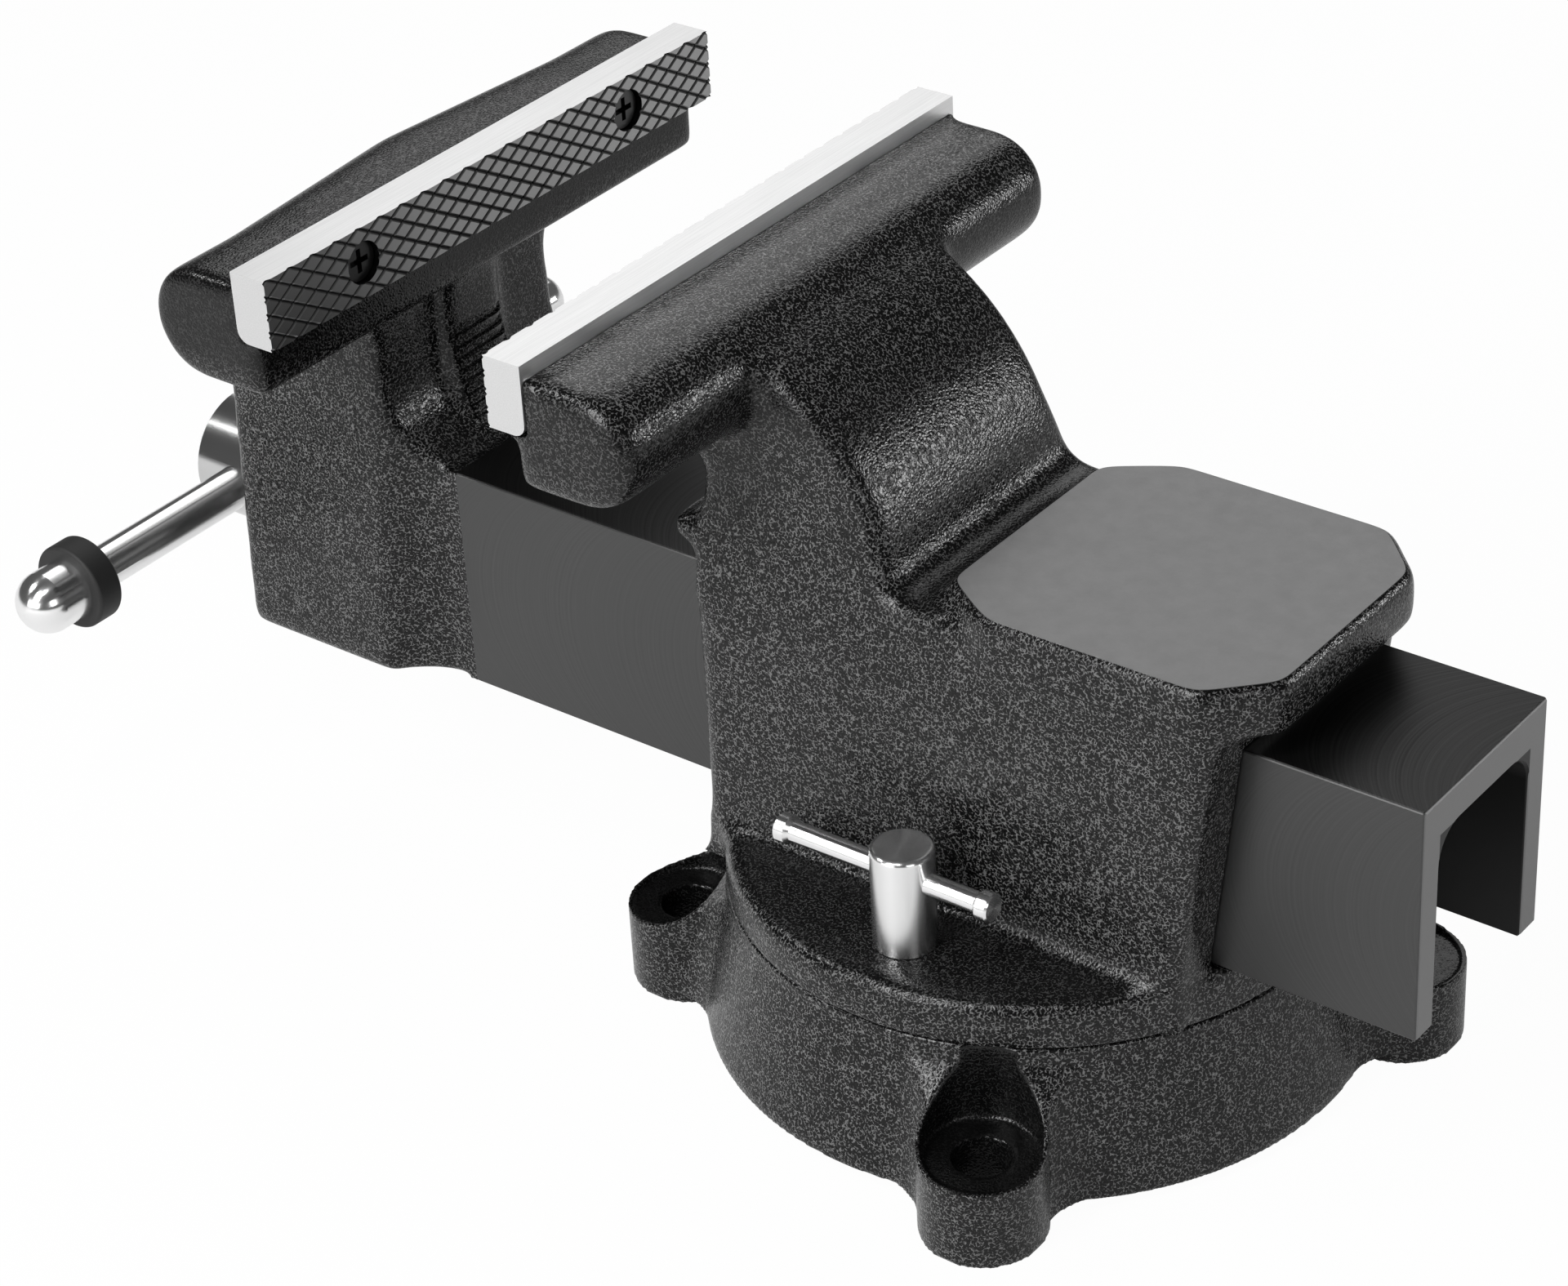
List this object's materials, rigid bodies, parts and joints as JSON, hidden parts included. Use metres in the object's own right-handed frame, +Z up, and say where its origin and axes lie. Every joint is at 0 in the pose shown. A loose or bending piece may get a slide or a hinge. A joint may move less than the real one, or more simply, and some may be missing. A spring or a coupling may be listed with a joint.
{
  "type": "swivel bench vise",
  "caption": "Cast swivel bench vise with serrated jaw plates, pipe jaws, a flat anvil, a U-shaped slide, a sliding handle bar and a lockable turning base.",
  "frame": {"origin": "on the swivel axis, at the bench surface under the base", "axes": "+X along the screw from the handle to the anvil, +Y to the far side, +Z up"},
  "size_m": [0.4593, 0.2546, 0.2318],
  "materials": {
    "hammer_paint": "black hammered enamel on cast iron",
    "ground_steel": "ground",
    "dark_screw": "blackened",
    "chrome_steel": "polished",
    "plain_steel": "plain",
    "nut_iron": "cast, bored",
    "ring_iron": "turned",
    "black_rubber": "matte"
  },
  "bodies": {
    "base": {"swivel_base": "hammer_paint"},
    "body": {"vise_body": "hammer_paint", "fixed_jaw_plate": "ground_steel", "fixed_plate_screws": "dark_screw", "spindle_nut": "nut_iron", "nut_bolts": "dark_screw", "nut_bolt_washers": "plain_steel", "clamp_ring": "ring_iron"},
    "jaw": {"moving_jaw": "hammer_paint", "moving_jaw_plate": "ground_steel", "moving_plate_screws": "dark_screw"},
    "screw": {"spindle": "chrome_steel", "thrust_washer": "plain_steel", "spring_washer": "plain_steel", "take_up_spring": "plain_steel", "retaining_collar": "plain_steel", "collar_pin": "plain_steel"},
    "handle": {"handle_bar": "chrome_steel", "handle_knob_near": "chrome_steel", "handle_knob_far": "chrome_steel", "handle_ring_near": "black_rubber", "handle_ring_far": "black_rubber"},
    "lock_near": {"lock_bolt_near": "chrome_steel"},
    "lock_far": {"lock_bolt_far": "chrome_steel"},
    "lever_near": {"lock_bar_near": "chrome_steel"},
    "lever_far": {"lock_bar_far": "chrome_steel"}
  },
  "joints": [
    {"name": "swivel", "type": "hinge", "parent": "base", "child": "body", "pos_m": [0, 0, 0], "axis": [0, 0, 1], "continuous": true},
    {"name": "jaw_slide", "type": "slide", "parent": "body", "child": "jaw", "axis": [-1, 0, 0], "range_m": [-0.0796, 0.1201]},
    {"name": "spindle_turn", "type": "hinge", "parent": "jaw", "child": "screw", "pos_m": [-0.272, 0, 0.094], "axis": [-1, 0, 0], "range_deg": [-4770, 7200]},
    {"name": "handle_slide", "type": "slide", "parent": "screw", "child": "handle", "axis": [0, 1, 0], "range_m": [-0.0905, 0.0645]},
    {"name": "lock_near_turn", "type": "hinge", "parent": "body", "child": "lock_near", "pos_m": [0.003, -0.07, 0.0648], "axis": [0, 0, 1], "range_deg": [-12, 12]},
    {"name": "lock_far_turn", "type": "hinge", "parent": "body", "child": "lock_far", "pos_m": [0.003, 0.07, 0.0648], "axis": [0, 0, 1], "range_deg": [-12, 12]},
    {"name": "lever_near_slide", "type": "slide", "parent": "lock_near", "child": "lever_near", "axis": [1, 0, 0], "range_m": [-0.016, 0.028]},
    {"name": "lever_far_slide", "type": "slide", "parent": "lock_far", "child": "lever_far", "axis": [1, 0, 0], "range_m": [-0.016, 0.028]}
  ],
  "couplings": [
    {"joint": "jaw_slide", "follows": "spindle_turn", "m_per_rad": 0.00095493}
  ]
}
